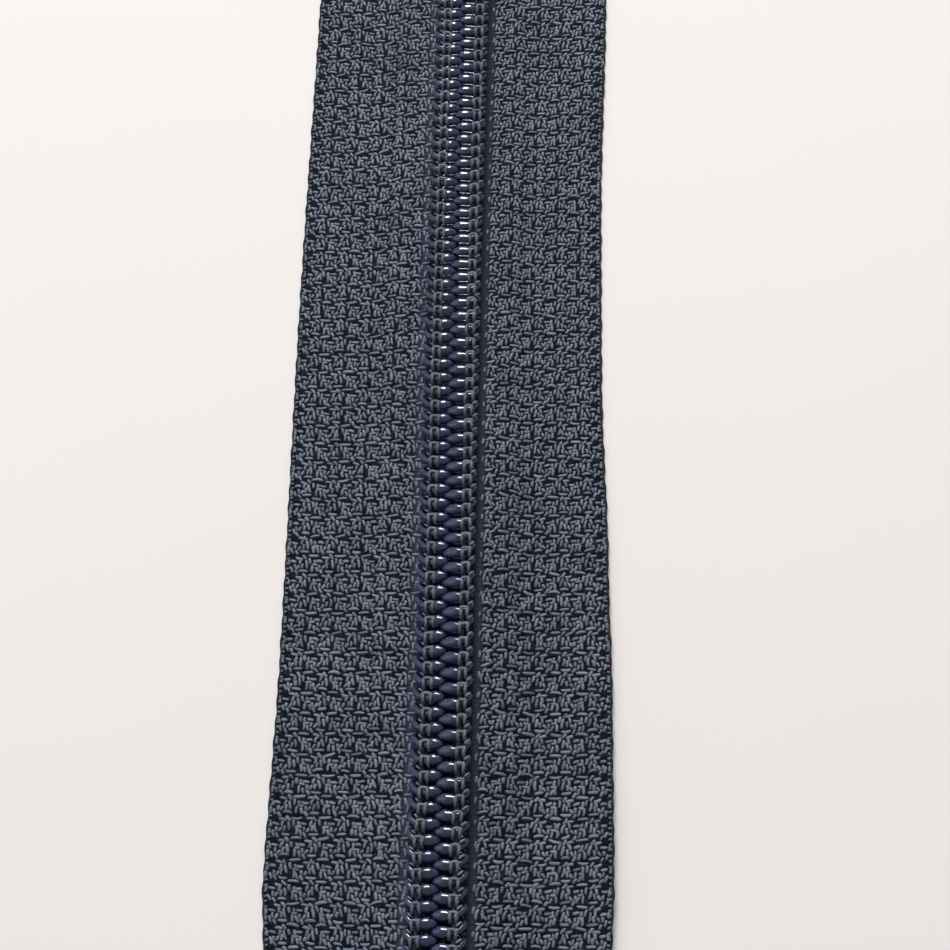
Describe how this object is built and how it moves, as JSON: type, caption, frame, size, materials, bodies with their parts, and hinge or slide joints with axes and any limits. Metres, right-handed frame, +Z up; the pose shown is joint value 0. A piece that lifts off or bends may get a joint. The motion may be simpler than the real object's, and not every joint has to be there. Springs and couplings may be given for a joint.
{
  "type": "coil zipper",
  "caption": "Closed-end coil zipper on woven tape: two sewn coils that a locking slider with a pull tab joins and parts, between end stops.",
  "frame": {"origin": "centre of the base, on the surface that the zipper lies on", "axes": "+X from the left tape to the right tape, +Y along the zipper to the top end where the slider closes it, +Z up on the coil side"},
  "size_m": [0.0352, 0.19, 0.0071],
  "materials": {
    "tape": "woven polyester, slate navy",
    "filament": "nylon monofilament, dark navy",
    "cord": "twisted polyester cord",
    "thread": "polyester sewing thread, slate",
    "stop": "enamelled, dark navy",
    "slider": "die-cast zinc, enamelled dark navy",
    "spring": "spring strip"
  },
  "bodies": {
    "chain_base": {"bottom_stop": "stop"},
    "left_stringer": {"left_tape": "tape", "left_coil": "filament", "left_filler_cord": "cord", "left_inner_needle_thread": "thread", "left_outer_needle_thread": "thread", "left_inner_looper_thread": "thread", "left_outer_looper_thread": "thread", "left_top_stop": "stop"},
    "right_stringer": {"right_tape": "tape", "right_coil": "filament", "right_filler_cord": "cord", "right_inner_needle_thread": "thread", "right_outer_needle_thread": "thread", "right_inner_looper_thread": "thread", "right_outer_looper_thread": "thread", "right_top_stop": "stop"},
    "slider": {"slider_body": "slider", "crown_cap": "slider", "lock_spring": "spring"},
    "pull": {"pull_tab": "slider"}
  },
  "joints": [
    {"name": "slider_travel", "type": "slide", "parent": "chain_base", "child": "slider", "axis": [0, -1, 0], "range_m": [0, 0.1291]},
    {"name": "left_open", "type": "hinge", "parent": "chain_base", "child": "left_stringer", "pos_m": [0, -0.073, 0.0015], "axis": [0, 0, 1], "range_deg": [0, 12], "deforming": ["left_tape", "left_coil", "left_filler_cord", "left_inner_needle_thread", "left_outer_needle_thread", "left_inner_looper_thread", "left_outer_looper_thread"]},
    {"name": "right_open", "type": "hinge", "parent": "chain_base", "child": "right_stringer", "pos_m": [0, -0.073, 0.0015], "axis": [0, 0, 1], "range_deg": [-12, 0], "deforming": ["right_tape", "right_coil", "right_filler_cord", "right_inner_needle_thread", "right_outer_needle_thread", "right_inner_looper_thread", "right_outer_looper_thread"]},
    {"name": "pull_swing", "type": "hinge", "parent": "slider", "child": "pull", "pos_m": [0, 0.06455, 0.00545], "axis": [-1, 0, 0], "range_deg": [0, 170], "deforming": ["lock_spring"]}
  ],
  "couplings": [
    {"joint": "left_open", "follows": "slider_travel", "rad_per_m": 1.6221},
    {"joint": "right_open", "follows": "slider_travel", "rad_per_m": -1.6221}
  ]
}
